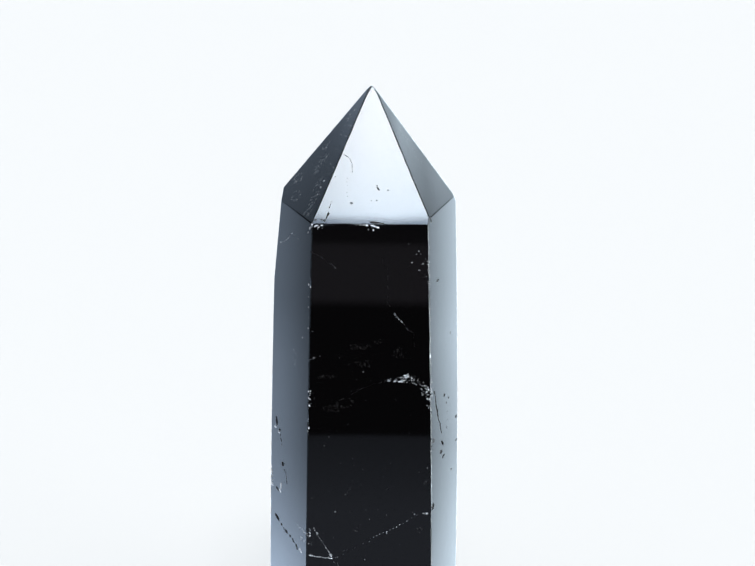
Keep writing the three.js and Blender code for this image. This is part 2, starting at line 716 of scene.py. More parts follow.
@dataclass
class Shards:
    """The small irregular bodies that pits are cut with and that flaws are made of.

    Args:
        setting: Finds places on the stone.
        seed: Starts their own row of random numbers.
        rough: How far their corners are pushed in or out, as a share of their size.
    """

    setting: SettingOut
    seed: int
    rough: float

    def __post_init__(self) -> None:
        """Starts with no shard."""
        self.shape = bmesh.new()
        self.paleness = self.shape.faces.layers.float.new(PALE_AND_GLINT)
        self.random = random.Random(self.seed)

    def draw(self, span: Span) -> float:
        """A random number in a span."""
        return self.random.uniform(*span)

    def add(self, where: Matrix, size: Sequence[float], pale: float, detail: int = 1) -> None:
        """Adds one shard.

        Args:
            where: Its frame, in metres.
            size: Its three widths, in metres.
            pale: How pale it is, from 0 to 1; near 1 it is a painted glint.
            detail: How finely it is divided.
        """
        made = bmesh.ops.create_icosphere(self.shape, subdivisions=detail, radius=0.5)
        for vert in made["verts"]:
            vert.co *= 1.0 + self.random.uniform(-self.rough, self.rough)
            for face in vert.link_faces:
                face[self.paleness] = pale
        scale = Matrix.Diagonal((*size, 1.0))
        bmesh.ops.transform(self.shape, matrix=where @ scale, verts=made["verts"])

    def scattered(self, middle: Place, size: Place, empty: float = 0.0) -> Place:
        """Picks a random place in an oval or a ring.

        Args:
            middle: Its middle.
            size: How wide and tall it is.
            empty: Share of its middle that is empty.

        Returns:
            The place.
        """
        turn = self.random.uniform(0.0, math.tau)
        out = math.sqrt(self.random.uniform(empty**2, 1.0)) / 2
        return (
            middle[0] + size[0] * out * math.cos(turn),
            middle[1] + size[1] * out * math.sin(turn),
        )

    def mesh(self, name: str) -> bpy.types.Mesh:
        """Turns the shards into one mesh.

        Args:
            name: The mesh's name.

        Returns:
            The mesh, with how pale each face is.
        """
        mesh = bpy.data.meshes.new(name)
        self.shape.to_mesh(mesh)
        self.shape.free()
        return mesh


@dataclass
class Hollows(Shards):
    """The pits, chips and scratches in the polish, cut out of the stone.

    Millimetres, and turns in radians. The spans are shares of a mark's own size or paleness.
    """

    seed: int = 11
    rough: float = 0.16
    bulge: float = 3.0
    coarse: float = 0.3
    # Chips with paleness near 1 are painted glints as well as frosted breaks
    pits: tuple[Pit, ...] = (
        *on(FRONT, Pit,
            ((1.0, 72.75), (2.5, 0.32), 0.14, 6), ((-0.5, 72.4), (0.4, 0.32), 0.08, 0, 0.9),
            ((0.4, 72.35), (0.9, 0.24), 0.07, 15, 0.9), ((1.1, 72.1), (0.6, 0.28), 0.07, 15, 0.9),
            ((0.45, 71.7), (0.2, 0.35), 0.04, 10, 0.6), ((-0.3, 71.75), (0.18, 0.2), 0.03, 0, 0.3),
            ((-8.8, 72.45), (0.4, 0.35), 0.1, 0, 0.95), ((-8.1, 72.3), (0.6, 0.22), 0.07, -10, 0.8),
            ((-7.3, 72.35), (0.4, 0.2), 0.06, 0, 0.85), ((-9.1, 71.8), (0.3, 0.6), 0.1, 30, 0.7),
            ((-9.4, 71.0), (0.25, 0.4), 0.1, 30, 0.3), ((-7.35, 73.15), (0.5, 0.22), 0.05, 20),
            ((-8.2, 73.1), (0.3, 0.3), 0.06), ((1.1, 77.4), (0.3, 0.75), 0.25, -28),
            ((0.95, 77.8), (0.24, 0.26), 0.15), ((2.6, 77.2), (0.32, 0.24), 0.1),
            ((-2.9, 75.4), (0.5, 0.4), 0.015), ((0.9, 75.8), (0.3, 0.22), 0.02),
            ((0.1, 75.75), (0.24, 0.18), 0.015), ((-5.4, 79.0), (0.24, 0.2), 0.015),
            ((-6.4, 73.9), (0.34, 0.6), 0.2, 15), ((9.1, 73.0), (0.5, 1.1), 0.12, -25),
            ((-9.25, 63.1), (0.25, 0.3), 0.08, 0, 0.9), ((-9.0, 62.8), (0.2, 0.2), 0.05, 0, 0.7),
            ((-9.3, 46.4), (0.16, 0.4), 0.08, 35, 0.8), ((-9.3, 45.4), (0.16, 0.25), 0.08, 0, 0.7),
            ((-9.15, 44.2), (0.16, 0.35), 0.08, -30, 0.9), ((-9.2, 40.6), (0.2, 0.35), 0.1, 0, 0.85),
            ((-9.35, 41.3), (0.3, 0.6), 0.12), ((9.3, 52.2), (0.3, 0.6), 0.1, 0, 0.95),
            ((9.25, 55.0), (0.2, 0.3), 0.06, 0, 0.5), ((3.9, 48.12), (0.5, 0.12), 0.04, -3, 0.8),
            ((4.7, 48.1), (0.6, 0.16), 0.05, 0, 0.9), ((5.3, 48.3), (0.35, 0.16), 0.05, -20, 0.7),
            ((5.45, 49.1), (0.4, 0.18), 0.06, 15, 0.98), ((5.9, 48.9), (0.4, 0.16), 0.05, -10, 0.9),
            ((5.6, 48.75), (0.18, 0.3), 0.05, 0, 0.7), ((4.85, 48.75), (0.4, 0.1), 0.03, -12, 0.6),
            ((6.5, 48.7), (0.3, 0.14), 0.05, 30, 0.85), ((8.5, 47.5), (0.3, 0.14), 0.05, 10, 0.85),
            ((9.1, 46.9), (0.22, 0.4), 0.08, -20, 0.95)),
        *on(LEFT, Pit,
            ((-4.4, 38.5), (0.8, 1.6), 0.4, -12), ((-4.9, 37.3), (0.8, 0.45), 0.08, 0, 0.7),
            ((-3.5, 36.8), (0.6, 0.4), 0.08, 0, 0.6), ((-3.2, 37.2), (0.7, 0.5), 0.25),
            ((-1.9, 32.0), (1.0, 0.8), 0.35, -30), ((-2.6, 28.1), (0.5, 1.2), 0.08, 15, 0.7),
            ((-2.9, 27.2), (0.9, 0.4), 0.08, 40, 0.95), ((-3.9, 27.2), (1.2, 0.5), 0.3, 15),
            ((-6.4, 29.2), (1.0, 0.8), 0.2, 0, 0.7), ((-6.2, 27.3), (1.3, 0.7), 0.2, 0, 0.75),
            ((-6.6, 22.7), (0.9, 0.5), 0.15, 0, 0.8), ((-3.9, 22.4), (2.0, 0.7), 0.45, 20),
            ((-0.7, 21.15), (0.9, 0.4), 0.3, 30), ((2.3, 20.5), (1.1, 0.45), 0.35, 30),
            ((3.7, 19.8), (0.9, 0.5), 0.35, 30), ((5.0, 19.8), (1.0, 0.4), 0.08, 30, 0.9)),
        *on(RIGHT, Pit,
            ((-7.6, 38.4), (1.0, 0.8), 0.35, -20), ((-3.35, 36.8), (1.5, 0.6), 0.4, 40),
            ((-4.05, 35.5), (1.2, 0.8), 0.45, 10), ((-3.0, 34.5), (1.2, 0.5), 0.35, -20),
            ((3.2, 39.2), (0.9, 0.5), 0.3), ((3.15, 35.3), (0.8, 0.4), 0.3),
            ((-2.3, 44.3), (0.9, 0.5), 0.14), ((-0.4, 43.3), (0.8, 0.4), 0.14),
            ((-4.7, 63.2), (0.9, 0.5), 0.12), ((0.8, 53.5), (0.5, 0.6), 0.06),
            ((0.85, 31.1), (0.7, 0.5), 0.08), ((-7.9, 27.8), (1.2, 1.2), 0.45, 20)),
    )
    grooves: tuple[Groove, ...] = (
        *on(FRONT, Groove,
            (((-4.2, 82.2), (-3.3, 81.6), (-2.9, 80.8), (-2.85, 79.6)), 0.13, 0.035, 0.26, 2.6),
            (((-3.6, 79.0), (-3.55, 76.1)), 0.12, 0.02, 0.45, 1.6),
            (((-6.0, 75.7), (-6.25, 74.6)), 0.18, 0.08, 0.4),
            (((-6.5, 73.6), (-6.9, 72.8)), 0.26, 0.16, 0.45)),
        *on(LEFT, Groove,
            (((-3.1, 36.8), (-2.4, 34.6)), 0.3, 0.1, 0.8, 2.0),
            (((-1.4, 31.4), (-0.6, 30.6), (-0.3, 29.2)), 0.3, 0.14, 0.55, 2.0),
            (((-2.6, 21.9), (-0.9, 21.2), (1.8, 20.7), (4.0, 19.9)), 0.4, 0.25, 1.2, 1.5)),
        *on(RIGHT, Groove,
            (((-7.2, 46.4), (-6.7, 45.4), (-5.6, 42.2), (-3.65, 38.4)), 0.45, 0.3, 0.75, 2.0),
            (((-1.6, 43.5), (-1.0, 40.5), (-1.6, 37.0)), 0.25, 0.05, 1.3, 1.6)),
        *on(FRONT, Groove,
            (((-9.3, 62.0), (-9.35, 55.5)), 0.12, 0.03, 1.5, 2.0, 0.5),
            (((9.0, 65.0), (9.2, 63.0)), 0.12, 0.04, 0.7, 1.4, 0.9, 1.0),
            (((9.25, 62.0), (9.3, 48.5)), 0.12, 0.04, 1.7, 1.8, 0.7),
            (((3.75, 58.8), (4.3, 58.1), (4.9, 57.5)), 0.12, 0.04, 0.36, 1.6, 0.95, 0.6),
            (((-8.5, 24.4), (-8.0, 23.4), (-6.8, 21.5)), 0.08, 0.03, 0.36, 2.2, 0.7, 0.6),
            (((-6.8, 21.5), (-5.6, 19.5)), 0.12, 0.03, 0.36, 2.2, 0.9, 0.4),
            (((-9.2, 19.85), (-8.1, 19.55), (-5.5, 19.25)), 0.14, 0.04, 0.33, 2.2, 0.95),
            (((0.2, 22.5), (1.6, 23.2), (5.7, 25.3)), 0.13, 0.05, 0.55, 1.1, 0.98, 0.7),
            (((5.7, 25.3), (7.9, 26.8)), 0.1, 0.03, 0.9, 1.2, 0.8, 1.2),
            (((8.4, 26.8), (9.3, 26.9)), 0.16, 0.05, 0.36, 1.5, 0.95, 0.6)),
        *on(LEFT, Groove,
            (((-4.4, 67.4), (-2.4, 68.1), (-0.1, 69.7)), 0.14, 0.03, 0.7, 1.8, 0.6, 0.6)),
    )
    sprays: tuple[Spray, ...] = (
        *on(FRONT, Spray,
            ((4.7, 48.35), (3.8, 0.8), 18, 0.09, 0.8), ((5.7, 49.0), (1.4, 0.8), 9, 0.11, 0.95),
            ((7.3, 48.1), (2.6, 1.2), 15, 0.1, 0.7), ((8.6, 46.9), (1.4, 2.6), 16, 0.11, 0.8),
            ((9.1, 45.0), (0.5, 2.4), 8, 0.13, 0.9), ((2.9, 48.3), (1.0, 0.3), 4, 0.14, 0.8),
            ((-9.1, 22.8), (0.5, 3.0), 12, 0.12, 0.9), ((-9.1, 45.2), (0.5, 3.2), 6, 0.15, 0.8),
            ((7.6, 67.2), (3.0, 3.4), 9, 0.09, 0.7), ((8.8, 64.4), (0.7, 2.6), 8, 0.12, 0.9),
            ((-8.2, 72.0), (2.2, 0.6), 7, 0.13, 0.8), ((0.5, 71.9), (1.8, 0.7), 5, 0.11, 0.8)),
        *on(RIGHT, Spray,
            ((-8.2, 46.8), (1.4, 2.8), 9, 0.2, 0.8)),
        *on(LEFT, Spray,
            ((6.0, 22.6), (3.4, 2.0), 5, 0.16, 0.9), ((-6.3, 28.4), (1.4, 4.4), 12, 0.35, 0.5),
            ((-6.5, 22.6), (0.8, 1.6), 6, 0.35, 0.75)),
    )
    groove_turns: Span = (-0.3, 0.3)
    groove_sizes: Span = (0.6, 1.3)
    groove_pales: Span = (0.5, 1.0)
    chip_sizes: Span = (0.6, 1.4)
    chip_pales: Span = (0.4, 1.0)
    chip_lengths: Span = (1.0, 1.8)
    chip_depth: float = 0.35
    hidden_pits: int = 12
    hidden_sizes: Span = (0.2, 0.7)
    hidden_shapes: Span = (0.4, 1.0)
    hidden_depth: float = 0.2
    nick_pitch: float = 4.6
    nick_sizes: Span = (0.15, 0.55)
    nick_shape: float = 0.6
    nick_depth: float = 0.3

    def cutter(self) -> bpy.types.Mesh:
        """Makes the shapes that the hollows are cut with.

        Returns:
            One mesh holding every cutting shape.
        """
        for pit in self.pits:
            spot = self.setting.spot(pit.side, pit.place) @ Matrix.Rotation(-math.radians(pit.lean), 4, "Z")
            self.hollow(spot, pit.size, pit.deep, pit.pale)
        for groove in self.grooves:
            self.add_groove(groove)
        for spray in self.sprays:
            self.add_spray(spray)
        self.add_hidden_pits()
        self.add_nicks()
        return self.mesh("hollows")

    def add_groove(self, groove: Groove) -> None:
        """Adds a groove's row of hollows, each a little different.

        Args:
            groove: The groove.
        """
        for spot, heading in self.setting.along(groove.side, groove.line, groove.pitch):
            turned = spot @ Matrix.Rotation(heading + self.draw(self.groove_turns), 4, "Z")
            size = groove.wide * self.draw(self.groove_sizes)
            aside = self.random.uniform(-groove.stray, groove.stray) * groove.wide * MM
            pale = groove.pale * self.draw(self.groove_pales)
            sideways = Matrix.Translation((0.0, aside, 0.0))
            self.hollow(turned @ sideways, (size * groove.length, size), groove.deep, pale)

    def add_spray(self, spray: Spray) -> None:
        """Adds a spray's chips, spread over an oval.

        Args:
            spray: The spray.
        """
        for _ in range(spray.count):
            spot = self.setting.spot(spray.side, self.scattered(spray.place, spray.size))
            wide = spray.wide * self.draw(self.chip_sizes)
            turned = spot @ Matrix.Rotation(self.draw(ANY_WAY_ROUND), 4, "Z")
            pale = spray.pale * self.draw(self.chip_pales)
            self.hollow(turned, (wide * self.draw(self.chip_lengths), wide), self.chip_depth * wide, pale)

    def add_hidden_pits(self) -> None:
        """Adds loose pits to the sides that the photo doesn't show."""
        for side in HIDDEN_SIDES:
            for _ in range(self.hidden_pits):
                spot = self.setting.anywhere(side, self.random)
                wide = self.draw(self.hidden_sizes)
                size = (wide, wide * self.draw(self.hidden_shapes))
                self.hollow(spot, size, self.hidden_depth * wide, DULL_BREAK)

    def add_nicks(self) -> None:
        """Adds nicks to the edges that the photo doesn't show."""
        for edge in self.setting.hidden_edges:
            for _ in range(round(edge.length() / (self.nick_pitch * MM))):
                wide = self.draw(self.nick_sizes)
                spot = edge.spot(self.random.random())
                self.hollow(spot, (wide, self.nick_shape * wide), self.nick_depth * wide, DULL_BREAK)

    def hollow(self, spot: Matrix, size: Place, deep: float, pale: float) -> None:
        """Adds one cutting shape: a pebble sunk into the surface to a depth.

        Args:
            spot: Its frame on the surface.
            size: Millimetres wide and tall where it meets the surface.
            deep: Millimetres deep.
            pale: How white its broken surface is, from 0 to 1: frosted stone, and near 1 a painted glint.
        """
        rise = Matrix.Translation((0.0, 0.0, deep * (self.bulge / 2 - 1) * MM))
        widen = 1.0 / math.sqrt(1.0 - (1.0 - 2.0 / self.bulge) ** 2)
        widths = (size[0] * widen * MM, size[1] * widen * MM, deep * self.bulge * MM)
        self.add(spot @ rise, widths, pale, detail=1 if max(size) < self.coarse else 2)


@dataclass
class Flaws(Shards):
    """The healed cracks, veils and specks sealed in the stone.

    Millimetres, leans in degrees, other turns in radians. The other spans are shares of a mark's own values.
    """

    seed: int = 23
    rough: float = 0.25
    cracks: tuple[Crack, ...] = (
        *on(FRONT, Crack,
            (((1.5, 67.9), (2.7, 65.4), (2.75, 63.5)), 0.03, 0.4, 10, 0.7),
            (((2.75, 63.5), (2.75, 60.6)), 0.07, 0.4, 10, 0.5),
            (((2.75, 60.6), (3.3, 59.4), (3.7, 58.8)), 0.25, 0.35, 15, 0.5, 0.6),
            (((3.7, 58.8), (4.3, 58.1), (4.9, 57.5)), 0.25, 0.4, 20, 0.35, 0.8),
            (((4.9, 57.5), (5.9, 56.2), (6.7, 55.7)), 0.1, 0.4, 25, 0.35),
            (((6.7, 55.7), (6.8, 54.4), (6.7, 53.0)), 0.035, 0.4, 10, 0.4, 0.8),
            (((-9.1, 68.3), (-7.5, 67.6), (-6.35, 66.5)), 0.12, 0.35, 10, 0.3, 0.9),
            (((-6.5, 66.7), (-5.75, 66.45), (-5.2, 65.7)), 0.3, 0.3, 15, 0.4, 0.7, 0.02),
            (((-9.1, 51.4), (-8.4, 51.8), (-7.4, 52.1)), 0.35, 0.35, 20, 0.3, 0.9),
            (((2.3, 48.3), (3.6, 48.1), (5.2, 48.2), (5.8, 48.8)), 0.12, 0.4, 30, 0.4, 0.8),
            (((4.2, 48.7), (5.6, 49.1), (6.6, 48.8)), 0.12, 0.4, 40, 0.4, 0.8),
            (((5.6, 49.0), (6.7, 48.6), (7.6, 48.0), (8.3, 47.4)), 0.12, 0.4, 40, 0.4),
            (((8.2, 47.6), (9.1, 47.0), (9.2, 46.0)), 0.12, 0.4, 40, 0.4),
            (((2.3, 48.2), (-0.7, 47.1)), 0.1, 0.4, 10, 0.35, 0.8),
            (((-0.7, 47.1), (-1.8, 46.6), (-2.7, 46.0)), 0.28, 0.4, 30, 0.3),
            (((-3.9, 20.4), (-1.85, 21.2), (0.4, 22.2)), 0.12, 0.35, 20, 0.45, 0.5),
            (((0.4, 22.5), (1.9, 23.3), (3.7, 24.2)), 0.04, 0.35, 15, 0.5, 0.4),
            (((3.7, 24.2), (5.6, 25.2), (7.9, 26.8), (9.2, 26.8)), 0.04, 0.35, 15, 0.6, 0.4),
            (((-8.7, 24.8), (-8.0, 23.4), (-6.8, 21.5), (-5.8, 20.0), (-5.1, 18.2)),
             0.3, 0.4, 20, 0.35, 0.8),
            (((-5.8, 20.0), (-4.9, 18.6), (-4.2, 16.5)), 0.3, 0.4, 15, 0.35),
            (((-9.3, 19.9), (-8.1, 19.6), (-5.9, 19.3), (-4.6, 19.5)), 0.5, 0.4, 30, 0.35, 0.9),
            (((-6.1, 39.3), (-6.9, 37.5)), 0.1, 0.5, 30, 0.4, 0.8),
            (((-3.6, 29.6), (-2.7, 30.9)), 0.1, 0.5, 30, 0.4, 0.8),
            (((3.7, 31.2), (1.9, 30.4)), 0.07, 0.5, 30, 0.4, 0.7),
            (((8.4, 31.3), (9.2, 32.4)), 0.12, 0.5, 40, 0.35, 0.8)),
        *on(LEFT, Crack,
            (((-4.2, 67.5), (-2.4, 68.1), (-1.3, 68.8), (-0.1, 69.7)), 0.3, 0.35, 20, 0.3, 0.9),
            (((-0.1, 69.7), (1.65, 69.4), (2.6, 69.2)), 0.25, 0.35, 15, 0.35),
            (((3.6, 23.6), (4.6, 23.4), (6.6, 23.3), (7.3, 22.9)), 0.8, 0.5, 30, 0.3, 0.9)),
    )
    veils: tuple[Veil, ...] = (
        *on(FRONT, Veil,
            ((-1.4, 53.5), (3.4, 1.0), 50, 0.013), ((-4.5, 52.1), (0.9, 0.7), 12, 0.013),
            ((1.5, 54.3), (1.2, 0.8), 14, 0.013), ((4.6, 52.6), (2.0, 1.8), 44, 0.013),
            ((-0.8, 50.9), (2.8, 1.4), 50, 0.016), ((-6.6, 48.7), (3.2, 0.6), 40, 0.02),
            ((-3.7, 44.6), (2.8, 1.6), 46, 0.018, 0.12, 0.3, 0.7), ((-5.3, 43.7), (3.4, 1.2), 56, 0.016),
            ((5.9, 48.5), (3.6, 1.5), 30, 0.1, 0.12, 0.06), ((8.5, 46.8), (1.6, 2.6), 24, 0.12, 0.1, 0.05),
            ((-8.8, 45.2), (1.0, 3.4), 16, 0.12, 0.1, 0.05), ((-8.8, 22.6), (1.0, 3.4), 14, 0.12, 0.1, 0.05),
            ((-1.9, 24.0), (1.0, 0.9), 12, 0.03), ((8.0, 24.1), (1.0, 1.2), 14, 0.04),
            ((8.2, 66.0), (1.6, 3.6), 14, 0.12, 0.09, 0.05),
            ((0.0, 36.0), (17.0, 34.0), 26, 0.07, 0.12, 0.05),
            ((-1.0, 24.0), (14.0, 12.0), 14, 0.07, 0.12, 0.05)),
        *on(LEFT, Veil,
            ((1.9, 79.2), (4.4, 8.4), 24, 0.2, 0.1, 0.05), ((0.4, 86.6), (2.6, 4.4), 22, 0.25, 0.12, 0.05),
            ((-1.8, 82.6), (1.6, 1.6), 20, 0.1, 0.26, 0.08),
            ((-0.6, 80.9), (1.8, 1.6), 26, 0.12, 0.26, 0.08),
            ((-0.5, 79.3), (1.6, 1.8), 22, 0.1, 0.26, 0.08), ((2.2, 77.6), (1.4, 2.4), 24, 0.14, 0.22, 0.08),
            ((3.5, 75.6), (1.6, 2.6), 30, 0.14, 0.24, 0.08), ((4.0, 73.8), (1.6, 1.8), 24, 0.14, 0.24, 0.08),
            ((-3.7, 77.4), (2.2, 1.6), 22, 0.07, 0.28, 0.08),
            ((-1.4, 75.2), (2.4, 1.8), 24, 0.07, 0.28, 0.08),
            ((0.0, 45.0), (11.0, 50.0), 36, 0.2, 0.1, 0.05), ((1.9, 50.6), (1.6, 3.6), 12, 0.3, 0.12, 0.05)),
        *on(RIGHT, Veil,
            ((0.0, 83.0), (1.6, 6.0), 30, 0.15, 0.16, 0.1)),
    )
    # Specks near 1 are painted glints caught in the cracks, not only milky flakes
    specks: tuple[Speck, ...] = (
        *on(FRONT, Speck,
            ((5.8, 69.6), 0.12, 0.3), ((8.0, 66.6), 0.26, 0.9), ((-0.9, 49.6), 0.26, 0.3),
            ((-3.25, 41.2), 0.2, 0.1), ((6.4, 42.8), 0.2, 0.1), ((7.8, 33.6), 0.2, 0.12),
            ((9.1, 34.3), 0.22, 0.2), ((-8.75, 29.2), 0.2, 0.1), ((-0.45, 19.1), 0.25, 0.3),
            ((-5.1, 27.0), 0.26, 0.8), ((-8.7, 55.9), 0.3, 0.05), ((3.8, 58.7), 0.36, 0.95),
            ((4.9, 57.5), 0.3, 0.95), ((-5.8, 19.8), 0.5, 0.95), ((-7.9, 23.4), 0.4, 0.95),
            ((-8.9, 19.7), 0.4, 0.95), ((2.9, 23.5), 0.25, 0.9), ((7.2, 26.7), 0.3, 0.9),
            ((9.1, 26.8), 0.4, 0.95), ((5.8, 49.0), 0.6, 0.95), ((3.1, 48.2), 0.3, 0.9),
            ((5.0, 48.2), 0.5, 0.95)),
        *on(LEFT, Speck,
            ((-4.2, 67.5), 0.35, 0.95), ((-0.1, 69.7), 0.3, 0.8), ((1.5, 51.6), 0.26, 0.8),
            ((4.5, 54.3), 0.26, 0.6), ((1.95, 49.4), 0.25, 0.4), ((4.4, 23.4), 0.35, 0.95),
            ((6.8, 23.3), 0.4, 0.95), ((6.1, 21.7), 0.35, 0.5), ((-0.3, 88.1), 0.26, 0.7),
            ((-0.7, 87.4), 0.3, 0.5), ((1.2, 86.0), 0.2, 0.6), ((1.7, 84.5), 0.2, 0.5),
            ((-1.4, 82.4), 0.26, 0.6), ((2.3, 80.5), 0.24, 0.5), ((3.5, 80.2), 0.24, 0.7),
            ((3.2, 78.2), 0.4, 0.9), ((3.4, 77.3), 0.36, 0.9), ((2.1, 77.4), 0.22, 0.6),
            ((3.7, 76.3), 0.26, 0.6), ((-2.1, 75.8), 0.22, 0.4)),
    )
    speck_cover: float = 0.03
    flake_tilts: Span = (-0.5, 0.5)
    flake_sink: float = 0.35
    flake_length: float = 1.2
    flake_thickness: float = 0.3
    crack_reaches: Span = (0.5, 1.2)
    crack_lengths: Span = (0.7, 1.4)
    crack_strays: Span = (-0.1, 0.1)
    crack_leans: Span = (-15.0, 15.0)
    crack_twists: Span = (-0.35, 0.35)
    crack_pales: Span = (0.3, 1.2)
    veil_sizes: Span = (0.5, 1.6)
    veil_covers: Span = (0.6, 1.4)
    veil_pales: Span = (0.3, 1.5)

    def build(self) -> None:
        """Makes the flaws' object, dressed and riding on the root body."""
        for crack in self.cracks:
            self.add_crack(crack)
        for veil in self.veils:
            self.add_veil(veil)
        for speck in self.specks:
            spot = self.setting.spot(speck.side, speck.place)
            shape = (speck.size, speck.size, speck.size * self.flake_thickness)
            self.add_flake(spot, shape, self.speck_cover, speck.pale)
        mesh = self.mesh("healed_cracks")
        mesh.materials.append(FlawFinish().material())
        flaws = placed("healed_cracks", mesh)
        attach(flaws, "root")
        LOG.info("healed cracks: %d faces", len(mesh.polygons))

    def add_flake(self, spot: Matrix, size: Sequence[float], cover: float, pale: float) -> None:
        """Adds one flake lying loosely along the surface, with some stone over it.

        Args:
            spot: A frame on the surface.
            size: Millimetres wide, tall and thick.
            cover: Millimetres of stone over it.
            pale: How pale it is, from 0 to 1.
        """
        tip = Matrix.Rotation(self.draw(self.flake_tilts), 4, "X")
        rock = Matrix.Rotation(self.draw(self.flake_tilts), 4, "Y")
        turn = Matrix.Rotation(self.draw(ANY_WAY_ROUND), 4, "Z")
        sunk = Matrix.Translation((0.0, 0.0, -(cover + self.flake_sink * max(size)) * MM))
        self.add(spot @ sunk @ (tip @ rock) @ turn, [width * MM for width in size], pale)

    def add_crack(self, crack: Crack) -> None:
        """Adds a crack's row of flakes.

        Args:
            crack: The crack.
        """
        for spot, heading in self.setting.along(crack.side, crack.line, crack.pitch):
            present = self.random.random() < crack.fill
            reach = crack.breadth * self.draw(self.crack_reaches)
            length = crack.pitch * self.draw(self.crack_lengths)
            aside = self.draw(self.crack_strays)
            lean = math.radians(crack.dip + self.draw(self.crack_leans))
            twist = heading + self.draw(self.crack_twists)
            pale = crack.pale * self.draw(self.crack_pales)
            if not present:
                continue
            depth = crack.cover + 0.5 * reach * math.cos(lean) + 0.5 * crack.thick
            sunk = Matrix.Translation((0.0, aside * MM, -depth * MM))
            where = spot @ Matrix.Rotation(twist, 4, "Z") @ sunk @ Matrix.Rotation(lean, 4, "X")
            self.add(where, (length * MM, crack.thick * MM, reach * MM), pale)

    def add_veil(self, veil: Veil) -> None:
        """Adds a veil's flakes, spread over an oval or a ring.

        Args:
            veil: The veil.
        """
        for _ in range(veil.count):
            place = self.scattered(veil.place, veil.size, veil.ring)
            size = veil.flake * self.draw(self.veil_sizes)
            cover = veil.cover * self.draw(self.veil_covers)
            pale = veil.pale * self.draw(self.veil_pales)
            shape = (size, size * self.flake_length, size * self.flake_thickness)
            self.add_flake(self.setting.spot(veil.side, place), shape, cover, pale)


@dataclass
class GroundFace:
    """One face as the wheel left it: nearly flat, bowed lengthwise, and crowned across.

    Args:
        normal: The outward direction at its middle.
        middle: A point in its middle.
        across: The level direction along it.
        half_width: Half its width.
        bow: How fast the outward direction tips with height, per metre.
        planes: The flats that make it up, each an outward direction and a distance.
    """

    normal: Vector
    middle: Vector
    across: Vector
    half_width: float
    bow: float
    planes: list[tuple[Vector, float]]

    @classmethod
    def from_flats(cls, flats: Sequence[bmesh.types.BMFace]) -> "GroundFace":
        """Measures a face.

        Args:
            flats: The flats of the frame's solid that make it up.

        Returns:
            The face.
        """
        area = sum(flat.calc_area() for flat in flats)
        normal = sum((flat.normal * flat.calc_area() for flat in flats), Vector()).normalized()
        middle = sum((flat.calc_center_median() * flat.calc_area() for flat in flats), Vector()) / area
        across = UP.cross(normal)
        across = across.normalized() if across.length > LEVEL_LIMIT else Vector((1, 0, 0))
        reach = [abs((vert.co - middle).dot(across)) for flat in flats for vert in flat.verts]
        low = min(flats, key=lambda flat: flat.calc_center_median().z)
        high = max(flats, key=lambda flat: flat.calc_center_median().z)
        rise = high.calc_center_median().z - low.calc_center_median().z
        bow = (high.normal.z - low.normal.z) / rise if rise > 0 else 0.0
        planes = [(flat.normal.copy(), flat.normal.dot(flat.verts[0].co)) for flat in flats]
        return cls(normal, middle, across, max(reach), bow, planes)

    def holds(self, normal: Vector, point: Vector, slack: float, gap: float) -> bool:
        """Whether a small flat is part of the face.

        Args:
            normal: The flat's outward direction.
            point: A point on it.
            slack: How far the cosine between the two directions may be from 1.
            gap: How far the point may be from the face.

        Returns:
            True if it is.
        """
        return any(
            normal.dot(plane) > 1.0 - slack and abs(plane.dot(point) - distance) < gap
            for plane, distance in self.planes
        )

    def outward(self, point: Vector, crown: float) -> Vector:
        """The polished surface's outward direction at a point.

        Args:
            point: A point on the face.
            crown: How far, in radians, the face turns away at its side edges.

        Returns:
            A unit vector.
        """
        from_middle = point - self.middle
        tip = UP * self.bow * from_middle.z
        roll = self.across * math.tan(crown) * from_middle.dot(self.across) / self.half_width
        return (self.normal + tip + roll).normalized()


